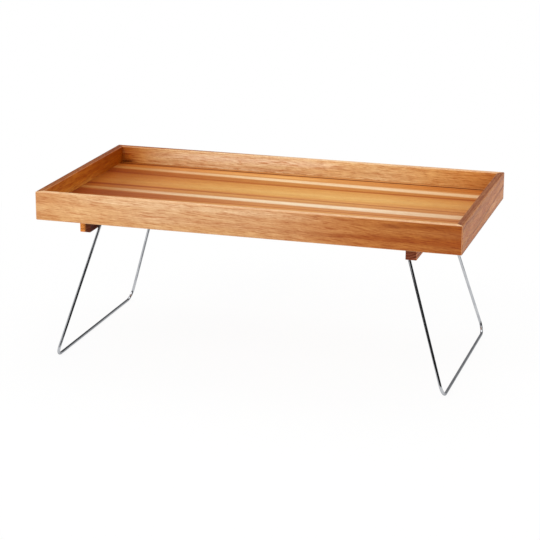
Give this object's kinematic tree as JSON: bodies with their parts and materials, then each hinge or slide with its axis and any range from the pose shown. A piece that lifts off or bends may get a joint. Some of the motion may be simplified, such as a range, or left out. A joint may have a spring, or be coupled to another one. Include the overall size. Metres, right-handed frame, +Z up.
{
  "type": "bed tray table",
  "caption": "Oblong wooden bed tray with mitred rails, a boarded floor and splayed bent-wire legs that fold flat under it.",
  "frame": {"origin": "on the ground under the middle of the tray, the legs standing open", "axes": "+X along the tray to the right, +Y to the back, +Z up"},
  "size_m": [0.6, 0.318, 0.244],
  "materials": {
    "long_rail_wood": "clear satin lacquer over orange-brown acacia",
    "end_rail_wood": "clear satin lacquer over darker acacia",
    "floor_wood": "clear satin lacquer over streaked acacia with pale sapwood",
    "dark_wood": "clear satin lacquer over dark heartwood",
    "spline_wood": "bare, glued in",
    "bright_wire": "bright chrome plate",
    "plated_steel": "zinc plated",
    "screw_steel": "zinc plated"
  },
  "bodies": {
    "tray": {"front_rail": "long_rail_wood", "back_rail": "long_rail_wood", "left_rail": "end_rail_wood", "right_rail": "end_rail_wood", "floor_board_1": "floor_wood", "floor_board_2": "floor_wood", "floor_board_3": "floor_wood", "floor_board_4": "floor_wood", "floor_board_5": "floor_wood", "left_batten": "dark_wood", "right_batten": "dark_wood", "corner_splines": "spline_wood", "left_front_bracket": "plated_steel", "left_back_bracket": "plated_steel", "right_front_bracket": "plated_steel", "right_back_bracket": "plated_steel", "bracket_screws": "screw_steel", "batten_screws": "screw_steel"},
    "left_leg": {"left_leg": "bright_wire"},
    "right_leg": {"right_leg": "bright_wire"}
  },
  "joints": [
    {"name": "left_leg_fold", "type": "hinge", "parent": "tray", "child": "left_leg", "pos_m": [-0.21712, 0, 0.2], "axis": [0, -1, 0], "range_deg": [0, 107.5]},
    {"name": "right_leg_fold", "type": "hinge", "parent": "tray", "child": "right_leg", "pos_m": [0.21712, 0, 0.2], "axis": [0, 1, 0], "range_deg": [0, 107.5]}
  ]
}
